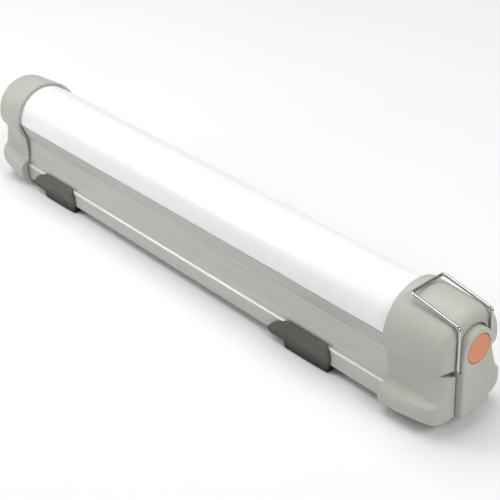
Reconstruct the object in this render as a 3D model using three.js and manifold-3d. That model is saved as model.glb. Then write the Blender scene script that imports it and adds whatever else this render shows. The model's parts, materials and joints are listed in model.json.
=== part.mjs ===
// LED light tube: a rail-like aluminium housing under a half-round opal diffuser, closed by two
// moulded end caps. The near cap carries a push button and a wire bail to hang the tube by.
// Two clips slide along the housing's ledge, and the tube stands on them.
//
// Tube frame, millimetres: x runs along the tube and is 0 at the near cap's rim, y runs across it,
// and z is 0 at the centre line of the half-round diffuser. The last lines move the tube so that
// its origin is under its middle, at the height of the clips' bases.
import * as THREE from 'three';
import { mergeVertices } from 'three/addons/utils/BufferGeometryUtils.js';
import Module from 'manifold-3d';

const manifold = await Module();
manifold.setup();

// Tube
const RIM_SPAN = 470;
const CAP_OVERLAP = 12;
const GAP = 0.35;
const DIFFUSER_RADIUS = 30;
const DIFFUSER_WALL = 2;
const DIFFUSER_TONGUE = 4;

// Aluminium housing, half widths and heights below the diffuser's centre line
const METAL_WALL = 1.8;
const WALL_Y = 24.3;
const WALL_TOP_Z = -15.2;
const WALL_CURVE_Z = -29;
const WALL_FOOT_Y = 27.6;
const LIP_TOP_Z = 0.8;
const LEDGE_Z = -41.5;
const LEDGE_Y = 29.8;
const HOUSING_BOTTOM_Z = -56.4;
const WEB_TOP_Z = -10;
const LEDGE_CHAMFER = 1;
const BOTTOM_CHAMFER = 0.5;

// End caps
const CAP_RADIUS = 33.2;
const CAP_NECK_Y = 27.6;
const CAP_FOOT_Y = 37.7;
const CAP_BOTTOM_Z = -59.3;
const NEAR_CAP = { length: 51.7, footNarrowing: 0.03, neckWidening: 0.2 };
const FAR_CAP = { length: 41.5, footNarrowing: 0.09, neckWidening: 0.14 };
const DOME_NARROWING = 0.085;
const CAP_RISE = 0.14;
const DOME_ROLL = 7;
const NECK_ROLL = 12;
const FOOT_ROLL = 8;
const BOTTOM_ROLL = 2.5;
const SHOULDER_Z = -8;
const SHOULDER_DROP = 6;
const SHOULDER_BLEND = 10;
const NECK_BOTTOM_Z = -34.5;
const CAP_END_WALL = 6.5;
const CAP_CAVITY_RADIUS = 25;
const CAP_CAVITY_Y = 20;
const CAP_CAVITY_BOTTOM_Z = -45;
const GASKET_THICKNESS = 1.8;

// Switch cover on the near cap, with its channel
const COVER_FRONT_X = 57.4;
const COVER_HALF_WIDTH = 14.8;
const COVER_ARCH_Z = 4.4;
const COVER_BOTTOM_Z = -49;
const COVER_BOTTOM_RADIUS = 3;
const COVER_BEVEL = 1.2;
const CHANNEL_WIDTH = 1.2;
const CHANNEL_DEPTH = 4;
const NOTCH = { innerX: 46.4, innerZ: -10.9, topZ: -6.4, bottomZ: -13.6 };

// Push button
const BUTTON_RADIUS = 11.2;
const BUTTON_Z = 3.7;
const BUTTON_CROWN = 0.5;
const BUTTON_FLANGE = 1.1;
const BUTTON_FLANGE_THICKNESS = 2;
const COVER_FRONT_WALL = 2.2;
const STEM_RADIUS = 2.7;
const SWITCH_RADIUS = 7.4;
const SWITCH_DEPTH = 14;
const COVER_SCREW_Z = [-20, -40];

// Wire bail
const WIRE_RADIUS = 1.25;
const BAIL_Y = 16.4;
const BAIL_PIVOT_X = 53.4;
const BAIL_PIVOT_Z = -10;
const BAIL_CORNER_Z = 26.1;
const BAIL_REAR_X = 10.6;
const BAIL_REAR_Z = 34.3;
const BAIL_BEND = 3;
const BAIL_STUB_Y = 11.6;

// Sliding clips
const CLIP_BASE_Z = -63.2;
const CLIP_SIDE_Y = 33.2;
const CLIP_NEAR_END_X = -54;
const CLIP_FAR_END_X = -390;
const CLIP_LENGTH = 67.5;
const CLIP_BASE_LENGTH = 46;
const CLIP_HOOK_THICKNESS = 1.4;
const CLIP_HOOK_Y = 28;
const CLIP_SCREW_X = [-14, -36];
const CLIP_SCREW_RADIUS = 2.2;

// Electronics
const BOARD_THICKNESS = 1.6;
const CELL_RADIUS = 9.3;
const CELL_LENGTH = 65.2;
const CELL_PITCH = 67;
const CELL_ROWS = 3;
const CELL_Y = CELL_RADIUS + 0.7;
const FIRST_CELL_X = -150;
const TRAY_FLOOR_Z = HOUSING_BOTTOM_Z + METAL_WALL + GAP;
const TRAY_WALL = 1.5;
const TRAY_HEIGHT = 16;
const CHARGE_BOARD = { start: -130, length: 62 };
const DRIVER_BOARD = { start: -440, length: 70 };
const INLET_RADIUS = 9.6;
const INLET_BORE_RADIUS = 4.6;
const INLET_BORE_DEPTH = 9.5;
const INLET_LENGTH = 16;
const SCREW_RADIUS = 1.4;
const SCREW_HEAD_RADIUS = 2.9;
const SCREW_HEAD_HEIGHT = 1.1;

// ---------------------------------------------------------------- materials

function plastic(color, roughness) {
  return new THREE.MeshStandardMaterial({ color, roughness, metalness: 0 });
}

function metal(color, roughness) {
  return new THREE.MeshStandardMaterial({ color, roughness, metalness: 1 });
}

const capPlastic = plastic(0xb9b7ae, 0.6);
const clipPlastic = plastic(0x4b4c48, 0.5);
const opal = plastic(0xf6f6f2, 0.35);
const buttonRubber = plastic(0xe08a64, 0.6);
const sealRubber = plastic(0x333333, 0.8);
const boardResin = plastic(0xe9ece8, 0.5);
const greenResin = plastic(0x2f6b45, 0.5);
const phosphor = plastic(0xe8c84a, 0.7);
const trayPlastic = plastic(0x3c3f42, 0.6);
const cellSleeve = plastic(0x3f6fa8, 0.4);
const switchPlastic = plastic(0x22242a, 0.5);
const aluminium = metal(0xb0b2b2, 0.35);
const wireSteel = metal(0xc9ccd0, 0.15);
const screwSteel = metal(0x9a9da0, 0.3);

// ---------------------------------------------------------------- solids and outlines

/** A closed solid from a geometry, with its shared vertices joined. */
function solid(geometry) {
  const bare = new THREE.BufferGeometry();
  bare.setAttribute('position', geometry.getAttribute('position').clone());
  if (geometry.index) bare.setIndex(geometry.index.clone());
  const merged = mergeVertices(bare, 1e-4);
  const corners = merged.index.array;
  const triangles = [];
  for (let i = 0; i < corners.length; i += 3) {
    const [a, b, c] = [corners[i], corners[i + 1], corners[i + 2]];
    if (a !== b && b !== c && c !== a) triangles.push(a, b, c);
  }
  return new manifold.Manifold(new manifold.Mesh({
    numProp: 3,
    vertProperties: new Float32Array(merged.getAttribute('position').array),
    triVerts: new Uint32Array(triangles),
  }));
}

function geometryOf(body) {
  const mesh = body.getMesh();
  const geometry = new THREE.BufferGeometry();
  geometry.setAttribute('position', new THREE.BufferAttribute(new Float32Array(mesh.vertProperties), 3));
  geometry.setIndex(new THREE.BufferAttribute(new Uint32Array(mesh.triVerts), 1));
  geometry.computeVertexNormals();
  return geometry;
}

/** A shape from the right half of a symmetric outline, listed from its top to its bottom. */
function mirroredShape(half) {
  const left = half.filter((p) => p.x > 0).map((p) => new THREE.Vector2(-p.x, p.y));
  return new THREE.Shape([...half, ...left.reverse()].reverse());
}

function points(...pairs) {
  return pairs.map(([x, y]) => new THREE.Vector2(x, y));
}

/** Points on an arc centred on the vertical axis, at angles in degrees from straight up. */
function arc(radius, fromDeg, toDeg, steps, centreY = 0) {
  const list = [];
  for (let i = 0; i <= steps; i += 1) {
    const angle = THREE.MathUtils.degToRad(THREE.MathUtils.lerp(fromDeg, toDeg, i / steps));
    list.push(new THREE.Vector2(radius * Math.sin(angle), centreY + radius * Math.cos(angle)));
  }
  return list;
}

function bezier(start, control1, control2, end, steps) {
  const ends = points(start, control1, control2, end);
  return new THREE.CubicBezierCurve(...ends).getPoints(steps);
}

const ALONG_X = new THREE.Matrix4().makeBasis(
  new THREE.Vector3(0, 1, 0),
  new THREE.Vector3(0, 0, 1),
  new THREE.Vector3(1, 0, 0),
);
const ALONG_Y = new THREE.Matrix4().makeBasis(
  new THREE.Vector3(1, 0, 0),
  new THREE.Vector3(0, 0, 1),
  new THREE.Vector3(0, -1, 0),
);

/** Extrudes a cross-section, drawn in y and z, from x0 to x1. */
function extrudeX(shape, x0, x1, options = {}) {
  const depth = x1 - x0;
  const settings = { depth, bevelEnabled: false, curveSegments: 8, ...options };
  return new THREE.ExtrudeGeometry(shape, settings).applyMatrix4(ALONG_X).translate(x0, 0, 0);
}

/** Extrudes a side view, drawn in x and z, across the tube to the same distance each side. */
function extrudeY(shape, halfWidth) {
  const settings = { depth: 2 * halfWidth, bevelEnabled: false, curveSegments: 5 };
  return new THREE.ExtrudeGeometry(shape, settings).applyMatrix4(ALONG_Y).translate(0, halfWidth, 0);
}

function box(x0, x1, y0, y1, z0, z1) {
  const geometry = new THREE.BoxGeometry(x1 - x0, y1 - y0, z1 - z0);
  return geometry.translate((x0 + x1) / 2, (y0 + y1) / 2, (z0 + z1) / 2);
}

/** A rod along x, y or z between two places on that axis, centred on the other two. */
function rod(axis, radius, from, to, across, sides = 20) {
  const geometry = new THREE.CylinderGeometry(radius, radius, to - from, sides);
  const middle = (from + to) / 2;
  if (axis === 'x') return geometry.rotateZ(-Math.PI / 2).translate(middle, across[0], across[1]);
  if (axis === 'z') return geometry.rotateX(Math.PI / 2).translate(across[0], across[1], middle);
  return geometry.translate(across[0], middle, across[1]);
}

function part(name, shape, material) {
  const geometry = shape.isBufferGeometry ? shape : geometryOf(shape);
  const mesh = new THREE.Mesh(geometry, material);
  mesh.name = name;
  return mesh;
}

// ---------------------------------------------------------------- housing and diffuser

/** The lip's slope: how far the housing narrows for each millimetre below the diffuser's edge. */
const LIP_SLOPE = (DIFFUSER_RADIUS - WALL_Y) / (LIP_TOP_Z - WALL_TOP_Z);

/** The side wall's line, down to just above the ledge: upright at its top, leaning out at its foot. */
function wallLine(grow) {
  const corners = points(
    [WALL_Y + grow, WALL_TOP_Z],
    [WALL_Y + grow, WALL_CURVE_Z],
    [WALL_FOOT_Y + grow, LEDGE_Z],
  );
  return new THREE.QuadraticBezierCurve(...corners).getPoints(6);
}

/** The tube's outer cross-section, grown outwards by a clearance. */
function tubeOutline(grow) {
  return mirroredShape([
    ...arc(DIFFUSER_RADIUS + grow, 0, 90, 12),
    ...wallLine(grow).slice(0, -1),
    ...points(
      [WALL_FOOT_Y + grow, LEDGE_Z + grow],
      [LEDGE_Y + grow, LEDGE_Z + grow],
      [LEDGE_Y + grow, HOUSING_BOTTOM_Z - grow],
      [0, HOUSING_BOTTOM_Z - grow],
    ),
  ]);
}

function housing() {
  const lipInnerY = DIFFUSER_RADIUS - METAL_WALL * Math.hypot(1, LIP_SLOPE);
  const upper = points(
    [0, WEB_TOP_Z],
    [lipInnerY + LIP_SLOPE * (WEB_TOP_Z - LIP_TOP_Z), WEB_TOP_Z],
    [lipInnerY, LIP_TOP_Z],
    [DIFFUSER_RADIUS, LIP_TOP_Z],
  );
  const lower = points(
    [LEDGE_Y - LEDGE_CHAMFER, LEDGE_Z],
    [LEDGE_Y, LEDGE_Z - LEDGE_CHAMFER],
    [LEDGE_Y, HOUSING_BOTTOM_Z + BOTTOM_CHAMFER],
    [LEDGE_Y - BOTTOM_CHAMFER, HOUSING_BOTTOM_Z],
    [0, HOUSING_BOTTOM_Z],
  );
  const outline = mirroredShape([...upper, ...wallLine(0), ...lower]);
  const lowerY = LEDGE_Y - METAL_WALL;
  const chamber = mirroredShape([
    ...points([0, WEB_TOP_Z - METAL_WALL], [WALL_Y - METAL_WALL, WEB_TOP_Z - METAL_WALL]),
    ...wallLine(-METAL_WALL),
    ...points(
      [lowerY, LEDGE_Z - METAL_WALL],
      [lowerY, HOUSING_BOTTOM_Z + METAL_WALL],
      [0, HOUSING_BOTTOM_Z + METAL_WALL],
    ),
  ]);
  outline.holes.push(new THREE.Path(chamber.getPoints()));
  let body = solid(extrudeX(outline, -RIM_SPAN - CAP_OVERLAP, CAP_OVERLAP));
  for (const place of capScrewPlaces()) {
    const hole = rod('z', SCREW_RADIUS + GAP, HOUSING_BOTTOM_Z - 1, HOUSING_BOTTOM_Z + 3, place);
    body = body.subtract(solid(hole));
  }
  return part('housing_profile', body, aluminium);
}

function diffuser() {
  const inner = DIFFUSER_RADIUS - DIFFUSER_WALL;
  const tongueY = DIFFUSER_RADIUS - METAL_WALL * Math.hypot(1, LIP_SLOPE) - GAP;
  const tongueThickness = 1.4;
  const tongueFootY = tongueY - LIP_SLOPE * DIFFUSER_TONGUE;
  const wallEndDeg = 81;
  const edgeZ = LIP_TOP_Z + GAP;
  const tipZ = LIP_TOP_Z - DIFFUSER_TONGUE;
  const rightFoot = points(
    [DIFFUSER_RADIUS, edgeZ],
    [tongueY, edgeZ],
    [tongueFootY, tipZ],
    [tongueFootY - tongueThickness, tipZ],
    [tongueY - tongueThickness, edgeZ + tongueThickness],
  );
  const leftFoot = rightFoot.map((p) => new THREE.Vector2(-p.x, p.y)).reverse();
  const outline = new THREE.Shape([
    ...arc(DIFFUSER_RADIUS, -87, 87, 28),
    ...rightFoot,
    ...arc(inner, wallEndDeg, -wallEndDeg, 20),
    ...leftFoot,
  ].reverse());
  return part('diffuser', extrudeX(outline, -RIM_SPAN - CAP_OVERLAP, CAP_OVERLAP), opal);
}

// ---------------------------------------------------------------- end caps

function capScrewPlaces() {
  const inset = CAP_OVERLAP / 2;
  const halfSpacing = 15;
  const places = [];
  for (const x of [inset, -RIM_SPAN - inset]) {
    for (const y of [-halfSpacing, halfSpacing]) places.push([x, y]);
  }
  return places;
}

/** The cap's outline at its rim: a dome, a narrower neck, and a wide foot with a rounded edge. */
function capRimShape() {
  const domeEnd = 97;
  const dome = arc(CAP_RADIUS, 0, domeEnd, 13);
  const last = dome[dome.length - 1];
  const shoulder = bezier([last.x, last.y], [31.5, -10], [CAP_NECK_Y, -12.5], [CAP_NECK_Y, -18], 6);
  const flareEnd = [CAP_FOOT_Y, -45.5];
  const flare = bezier([CAP_NECK_Y, -33.5], [CAP_NECK_Y, -38.4], [CAP_FOOT_Y, -37.5], flareEnd, 6);
  const heel = bezier([CAP_FOOT_Y, -48.5], [CAP_FOOT_Y, -53], [34.5, CAP_BOTTOM_Z], [26, CAP_BOTTOM_Z], 5);
  return mirroredShape([...dome, ...shoulder.slice(1), ...flare, ...heel, new THREE.Vector2(0, CAP_BOTTOM_Z)]);
}

/** How far a rounded edge of a given radius has drawn in, this close to the cap's end face. */
function rollInset(radius, distanceFromEnd) {
  const over = Math.max(0, radius - distanceFromEnd);
  return radius - Math.sqrt(Math.max(0, radius * radius - over * over));
}

/**
 * Draws one point of the straight cap in: the whole cap narrows a little, its bottom rises, and
 * its outer edges roll over to the end face. Below the shoulder the corners roll over sooner.
 */
function taperCapPoint(point, cap) {
  const { length } = cap;
  const { lerp, smoothstep, clamp } = THREE.MathUtils;
  const share = Math.sin((point.x / length) * (Math.PI / 2));
  const x = length * share;
  const below = smoothstep(-point.z, -SHOULDER_Z, SHOULDER_DROP - SHOULDER_Z);
  const down = clamp((point.z - SHOULDER_Z) / (NECK_BOTTOM_Z - SHOULDER_Z), 0, 1);
  const footward = clamp((point.z - NECK_BOTTOM_Z) / -SHOULDER_Z, -1, 0);
  const neckShare = down * (1 + footward);
  const lowerInset = rollInset(lerp(NECK_ROLL, FOOT_ROLL, down), length - x);
  const inset = lerp(rollInset(DOME_ROLL, length - x), lowerInset, below);
  const domeWidth = 1 - DOME_NARROWING * share;
  const lowerWidth = 1 + (cap.neckWidening * neckShare - cap.footNarrowing) * share * share;
  const blend = smoothstep(-point.z, -SHOULDER_Z, SHOULDER_BLEND - SHOULDER_Z);
  const narrow = lerp(domeWidth, lowerWidth, blend) * (1 - inset / CAP_RADIUS);
  const rise = (1 - CAP_RISE * share * share) * (1 + rollInset(BOTTOM_ROLL, length - x) / CAP_BOTTOM_Z);
  return point.set(x, point.y * narrow, point.z * (point.z > 0 ? narrow : rise));
}

/** A hollow cap, its rim at x = 0 and its end face at its full length. */
function capShell(cap) {
  const { length } = cap;
  const geometry = extrudeX(capRimShape(), 0, length, { steps: 11 });
  const position = geometry.getAttribute('position');
  const point = new THREE.Vector3();
  for (let i = 0; i < position.count; i += 1) {
    taperCapPoint(point.fromBufferAttribute(position, i), cap);
    position.setXYZ(i, point.x, point.y, point.z);
  }
  const seat = CAP_OVERLAP + GAP + GASKET_THICKNESS + GAP;
  const cavity = mirroredShape([
    ...arc(CAP_CAVITY_RADIUS, 0, 50, 8),
    ...points([CAP_CAVITY_Y, 0], [CAP_CAVITY_Y, CAP_CAVITY_BOTTOM_Z], [0, CAP_CAVITY_BOTTOM_Z]),
  ]);
  return solid(geometry)
    .subtract(solid(extrudeX(tubeOutline(GAP), -1, seat)))
    .subtract(solid(extrudeX(cavity, seat - 1, length - CAP_END_WALL)));
}

function gasket(name, x) {
  const band = 4;
  const outline = tubeOutline(0);
  outline.holes.push(new THREE.Path(tubeOutline(-band).getPoints()));
  return part(name, extrudeX(outline, x, x + GASKET_THICKNESS), sealRubber);
}

/** Counterbores and clearance holes for the two screws under a cap. */
function drillScrewHoles(body, places) {
  let drilled = body;
  for (const place of places) {
    const hole = rod('z', SCREW_RADIUS + GAP, CAP_BOTTOM_Z - 2, HOUSING_BOTTOM_Z + 1, place);
    const top = screwHeadTop() + GAP;
    const counterbore = rod('z', SCREW_HEAD_RADIUS + GAP, CAP_BOTTOM_Z - 2, top, place);
    drilled = drilled.subtract(solid(hole)).subtract(solid(counterbore));
  }
  return drilled;
}

function screwHeadTop() {
  return CAP_BOTTOM_Z + GAP + SCREW_HEAD_HEIGHT;
}

function capScrews() {
  const names = ['near_right', 'near_left', 'far_right', 'far_left'];
  const tipZ = HOUSING_BOTTOM_Z + 6;
  return capScrewPlaces().map((place, i) => {
    const head = rod('z', SCREW_HEAD_RADIUS, CAP_BOTTOM_Z + GAP, screwHeadTop(), place);
    const shank = rod('z', SCREW_RADIUS, screwHeadTop() - 0.5, tipZ, place, 12);
    const slot = rod('z', 1.2, CAP_BOTTOM_Z, CAP_BOTTOM_Z + GAP + 0.7, place, 6);
    return part(`cap_screw_${names[i]}`, solid(head).add(solid(shank)).subtract(solid(slot)), screwSteel);
  });
}

// ---------------------------------------------------------------- switch cover and button

/** The cover's outline: an arch over straight sides, with rounded lower corners. */
function coverShape(grow, bottomZ) {
  const halfWidth = COVER_HALF_WIDTH + grow;
  const r = COVER_BOTTOM_RADIUS;
  const corner = arc(r, 90, 180, 4, bottomZ + r);
  return mirroredShape([
    ...arc(halfWidth, 0, 90, 12, COVER_ARCH_Z),
    ...corner.map((p) => new THREE.Vector2(p.x + halfWidth - r, p.y)),
    new THREE.Vector2(0, bottomZ),
  ]);
}

/** Wedges cut into the end face on both sides of the channel, level with the bail's pivot. */
function pivotNotches() {
  const { innerX, innerZ, topZ, bottomZ } = NOTCH;
  const endX = NEAR_CAP.length + 1;
  const wedge = new THREE.Shape(points([innerX, innerZ], [endX, bottomZ], [endX, topZ]));
  const halfChannel = COVER_HALF_WIDTH + CHANNEL_WIDTH - 0.2;
  const middle = box(0, endX + 1, -halfChannel, halfChannel, CAP_BOTTOM_Z, CAP_RADIUS);
  return solid(extrudeY(wedge, CAP_FOOT_Y)).subtract(solid(middle));
}

function nearCap() {
  const floorX = NEAR_CAP.length - CHANNEL_DEPTH;
  const channel = coverShape(CHANNEL_WIDTH, CAP_BOTTOM_Z - 10);
  const switchHole = rod('x', SWITCH_RADIUS + GAP, floorX - CAP_END_WALL, floorX + 1, [0, BUTTON_Z], 24);
  let body = capShell(NEAR_CAP)
    .subtract(solid(extrudeX(channel, floorX, COVER_FRONT_X + 5)))
    .subtract(solid(switchHole))
    .subtract(pivotNotches());
  for (const z of COVER_SCREW_Z) {
    const hole = rod('x', SCREW_RADIUS + GAP, floorX - CAP_END_WALL, floorX + 1, [0, z], 12);
    body = body.subtract(solid(hole));
  }
  return part('end_cap_near', drillScrewHoles(body, capScrewPlaces().slice(0, 2)), capPlastic);
}

function switchCover() {
  const backX = NEAR_CAP.length - CHANNEL_DEPTH + GAP;
  const shape = coverShape(-COVER_BEVEL, COVER_BOTTOM_Z + COVER_BEVEL);
  const bevel = {
    bevelEnabled: true, bevelSize: COVER_BEVEL, bevelThickness: COVER_BEVEL, bevelSegments: 2,
  };
  const outer = extrudeX(shape, backX + COVER_BEVEL, COVER_FRONT_X - COVER_BEVEL, bevel);
  const wellRadius = BUTTON_RADIUS + BUTTON_FLANGE + GAP;
  const well = rod('x', wellRadius, backX - 1, COVER_FRONT_X - COVER_FRONT_WALL, [0, BUTTON_Z], 36);
  const mouth = rod('x', BUTTON_RADIUS + GAP, backX, COVER_FRONT_X + 1, [0, BUTTON_Z], 36);
  let body = solid(outer).subtract(solid(well)).subtract(solid(mouth));
  for (const side of [-1, 1]) {
    const ends = [side * (BAIL_STUB_Y - GAP), side * (COVER_HALF_WIDTH + 1)].sort((a, b) => a - b);
    const hole = rod('y', WIRE_RADIUS + GAP, ends[0], ends[1], [BAIL_PIVOT_X, BAIL_PIVOT_Z], 12);
    body = body.subtract(solid(hole));
  }
  for (const z of COVER_SCREW_Z) {
    const pilot = rod('x', SCREW_RADIUS + GAP, backX - 1, backX + 5, [0, z], 12);
    body = body.subtract(solid(pilot));
  }
  return part('switch_cover', body, capPlastic);
}

function coverScrews() {
  const headX = NEAR_CAP.length - CAP_END_WALL - GAP;
  const tipX = NEAR_CAP.length - CHANNEL_DEPTH + 4.5;
  return COVER_SCREW_Z.map((z, i) => {
    const head = rod('x', SCREW_HEAD_RADIUS, headX - SCREW_HEAD_HEIGHT, headX, [0, z]);
    const shank = rod('x', SCREW_RADIUS, headX - 0.5, tipX, [0, z], 12);
    return part(`cover_screw_${i + 1}`, solid(head).add(solid(shank)), screwSteel);
  });
}

/** The button turns about x: a domed face, a retaining flange behind it, and a stem. */
function powerButton() {
  const flangeFront = COVER_FRONT_X - COVER_FRONT_WALL - GAP;
  const flangeBack = flangeFront - BUTTON_FLANGE_THICKNESS;
  const stemBack = NEAR_CAP.length - CHANNEL_DEPTH - 2;
  const crown = 0.3;
  const profile = points(
    [0, COVER_FRONT_X + BUTTON_CROWN],
    [BUTTON_RADIUS * 0.55, COVER_FRONT_X + BUTTON_CROWN * 0.7],
    [BUTTON_RADIUS - 1, COVER_FRONT_X],
    [BUTTON_RADIUS, COVER_FRONT_X - crown * 2],
    [BUTTON_RADIUS, flangeFront],
    [BUTTON_RADIUS + BUTTON_FLANGE, flangeFront],
    [BUTTON_RADIUS + BUTTON_FLANGE, flangeBack],
    [STEM_RADIUS, flangeBack],
    [STEM_RADIUS, stemBack],
    [0, stemBack],
  ).reverse();
  const geometry = new THREE.LatheGeometry(profile, 36).rotateZ(-Math.PI / 2).translate(0, 0, BUTTON_Z);
  return part('power_button', geometry, buttonRubber);
}

function buttonSeal() {
  const floorX = NEAR_CAP.length - CHANNEL_DEPTH + GAP;
  const outer = rod('x', BUTTON_RADIUS, floorX, floorX + 1, [0, BUTTON_Z], 28);
  const inner = rod('x', STEM_RADIUS + 2 * GAP, floorX - 1, floorX + 2, [0, BUTTON_Z], 20);
  return part('button_seal', solid(outer).subtract(solid(inner)), sealRubber);
}

function switchModule() {
  const frontX = NEAR_CAP.length - CHANNEL_DEPTH - GAP;
  const flangeX = NEAR_CAP.length - CAP_END_WALL - GAP;
  const barrel = rod('x', SWITCH_RADIUS, flangeX - 4, frontX, [0, BUTTON_Z], 24);
  const block = box(flangeX - SWITCH_DEPTH, flangeX, -9, 9, BUTTON_Z - 9, BUTTON_Z + 9);
  const bore = rod('x', STEM_RADIUS + GAP, flangeX - 6, frontX + 1, [0, BUTTON_Z], 20);
  let body = solid(barrel).add(solid(block)).subtract(solid(bore));
  for (const y of [-4, 4]) {
    const back = flangeX - SWITCH_DEPTH;
    const terminal = box(back - 4, back + 1, y - 1.4, y + 1.4, BUTTON_Z - 0.4, BUTTON_Z + 0.4);
    body = body.add(solid(terminal));
  }
  return part('switch_module', body, switchPlastic);
}

// ---------------------------------------------------------------- bail

/** A path through corner points, each corner rounded off. */
function roundedPath(corners, bend) {
  const path = new THREE.CurvePath();
  let from = corners[0];
  for (let i = 1; i < corners.length - 1; i += 1) {
    const corner = corners[i];
    const enter = corner.clone().addScaledVector(corner.clone().sub(corners[i - 1]).normalize(), -bend);
    const leave = corner.clone().addScaledVector(corners[i + 1].clone().sub(corner).normalize(), bend);
    path.add(new THREE.LineCurve3(from, enter));
    path.add(new THREE.QuadraticBezierCurve3(enter, corner, leave));
    from = leave;
  }
  path.add(new THREE.LineCurve3(from, corners[corners.length - 1]));
  return path;
}

function bailWire() {
  const right = [
    [BAIL_PIVOT_X, BAIL_STUB_Y, BAIL_PIVOT_Z],
    [BAIL_PIVOT_X, BAIL_Y, BAIL_PIVOT_Z],
    [BAIL_PIVOT_X, BAIL_Y, BAIL_CORNER_Z],
    [BAIL_REAR_X, BAIL_Y, BAIL_REAR_Z],
  ].map((p) => new THREE.Vector3(...p));
  const left = right.map((p) => new THREE.Vector3(p.x, -p.y, p.z)).reverse();
  const section = new THREE.Shape(arc(WIRE_RADIUS, 0, 315, 7).reverse());
  const geometry = new THREE.ExtrudeGeometry(section, {
    steps: 96, bevelEnabled: false, extrudePath: roundedPath([...right, ...left], BAIL_BEND),
  });
  return part('bail_wire', geometry, wireSteel);
}

// ---------------------------------------------------------------- clips

/** Half of the clip's cross-section: a base, a side wall, and a hook over the housing's ledge. */
function clipSection() {
  const underHook = LEDGE_Z + GAP;
  const top = clipTopZ();
  const hook = bezier([CLIP_SIDE_Y, top - 8], [CLIP_SIDE_Y, top - 3], [32, top], [CLIP_HOOK_Y + 1, top], 5);
  const half = [
    ...points([0, CLIP_BASE_Z], [CLIP_SIDE_Y - 1.6, CLIP_BASE_Z], [CLIP_SIDE_Y, CLIP_BASE_Z + 1.6]),
    ...hook,
    ...points(
      [CLIP_HOOK_Y, top - 0.6],
      [CLIP_HOOK_Y, underHook],
      [LEDGE_Y + GAP, underHook],
      [LEDGE_Y + GAP, HOUSING_BOTTOM_Z - GAP],
      [0, HOUSING_BOTTOM_Z - GAP],
    ),
  ];
  return mirroredShape(half.reverse());
}

function clipTopZ() {
  return LEDGE_Z + GAP + CLIP_HOOK_THICKNESS;
}

/** The space between the two hooks, in x and y: it widens towards the ends, where the hooks fade. */
function hookSpace() {
  const wideY = CLIP_SIDE_Y - 1.5;
  const space = new THREE.Shape();
  space.moveTo(1, 0);
  space.lineTo(1, wideY);
  space.lineTo(-1.2, wideY);
  space.quadraticCurveTo(-1.2, CLIP_HOOK_Y, -9, CLIP_HOOK_Y);
  space.lineTo(-34, CLIP_HOOK_Y);
  space.quadraticCurveTo(-48, CLIP_HOOK_Y, -60, wideY);
  space.lineTo(-CLIP_LENGTH - 1, wideY);
  space.lineTo(-CLIP_LENGTH - 1, 0);
  const upright = { depth: 2 * CLIP_HOOK_THICKNESS + GAP, bevelEnabled: false, curveSegments: 5 };
  const right = solid(new THREE.ExtrudeGeometry(space, upright).translate(0, 0, LEDGE_Z));
  return right.add(right.mirror([0, 1, 0]));
}

/** The clip's side view with its steep end at x = 0: a lobe sweeping down, and a stepped base. */
function clipSideView() {
  const top = clipTopZ() + 0.5;
  const stepZ = HOUSING_BOTTOM_Z - 2.2;
  const baseEndX = -2.2;
  const baseStartX = baseEndX - CLIP_BASE_LENGTH;
  const view = new THREE.Shape();
  view.moveTo(baseEndX, CLIP_BASE_Z - 1);
  view.lineTo(baseEndX, CLIP_BASE_Z + 2);
  view.lineTo(0, -52);
  view.lineTo(-0.5, top - 5.5);
  view.quadraticCurveTo(-1.4, top, -8, top);
  view.lineTo(-40, top);
  view.quadraticCurveTo(-58, top - 0.3, -CLIP_LENGTH, -53.5);
  view.quadraticCurveTo(-CLIP_LENGTH + 2, stepZ, -CLIP_LENGTH + 9, stepZ);
  view.lineTo(baseStartX, stepZ);
  view.lineTo(baseStartX, CLIP_BASE_Z - 1);
  return view;
}

function clip(name, steepEndX) {
  const section = extrudeX(clipSection(), -CLIP_LENGTH - 1, 1);
  const view = solid(extrudeY(clipSideView(), CLIP_SIDE_Y + 1));
  let body = solid(section).intersect(view).subtract(hookSpace());
  for (const x of CLIP_SCREW_X) {
    const hole = rod('z', CLIP_SCREW_RADIUS, CLIP_BASE_Z - 1, HOUSING_BOTTOM_Z + 1, [x, 0], 16);
    body = body.subtract(solid(hole));
  }
  const mesh = part(name, body, clipPlastic);
  mesh.position.x = steepEndX;
  return mesh;
}

// ---------------------------------------------------------------- electronics

function ledBoard() {
  const z = WEB_TOP_Z + GAP;
  const margin = 4;
  const body = box(-RIM_SPAN - margin, margin, -10, 10, z, z + BOARD_THICKNESS);
  return part('led_board', body, boardResin);
}

function ledStrip() {
  const z = WEB_TOP_Z + GAP + BOARD_THICKNESS + GAP;
  const outline = mirroredShape(points([0, z + 1.4], [1.8, z + 1.2], [3, z], [0, z]));
  return part('led_strip', extrudeX(outline, -RIM_SPAN + 1, -1), phosphor);
}

function batteryTray() {
  const innerY = CELL_Y + CELL_RADIUS + GAP;
  const outline = mirroredShape(points(
    [0, TRAY_FLOOR_Z + TRAY_WALL],
    [innerY, TRAY_FLOOR_Z + TRAY_WALL],
    [innerY, TRAY_FLOOR_Z + TRAY_HEIGHT],
    [innerY + TRAY_WALL, TRAY_FLOOR_Z + TRAY_HEIGHT],
    [innerY + TRAY_WALL, TRAY_FLOOR_Z],
    [0, TRAY_FLOOR_Z],
  ));
  const startX = FIRST_CELL_X - CELL_ROWS * CELL_PITCH - 2;
  return part('battery_tray', extrudeX(outline, startX, FIRST_CELL_X + 2), trayPlastic);
}

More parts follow.
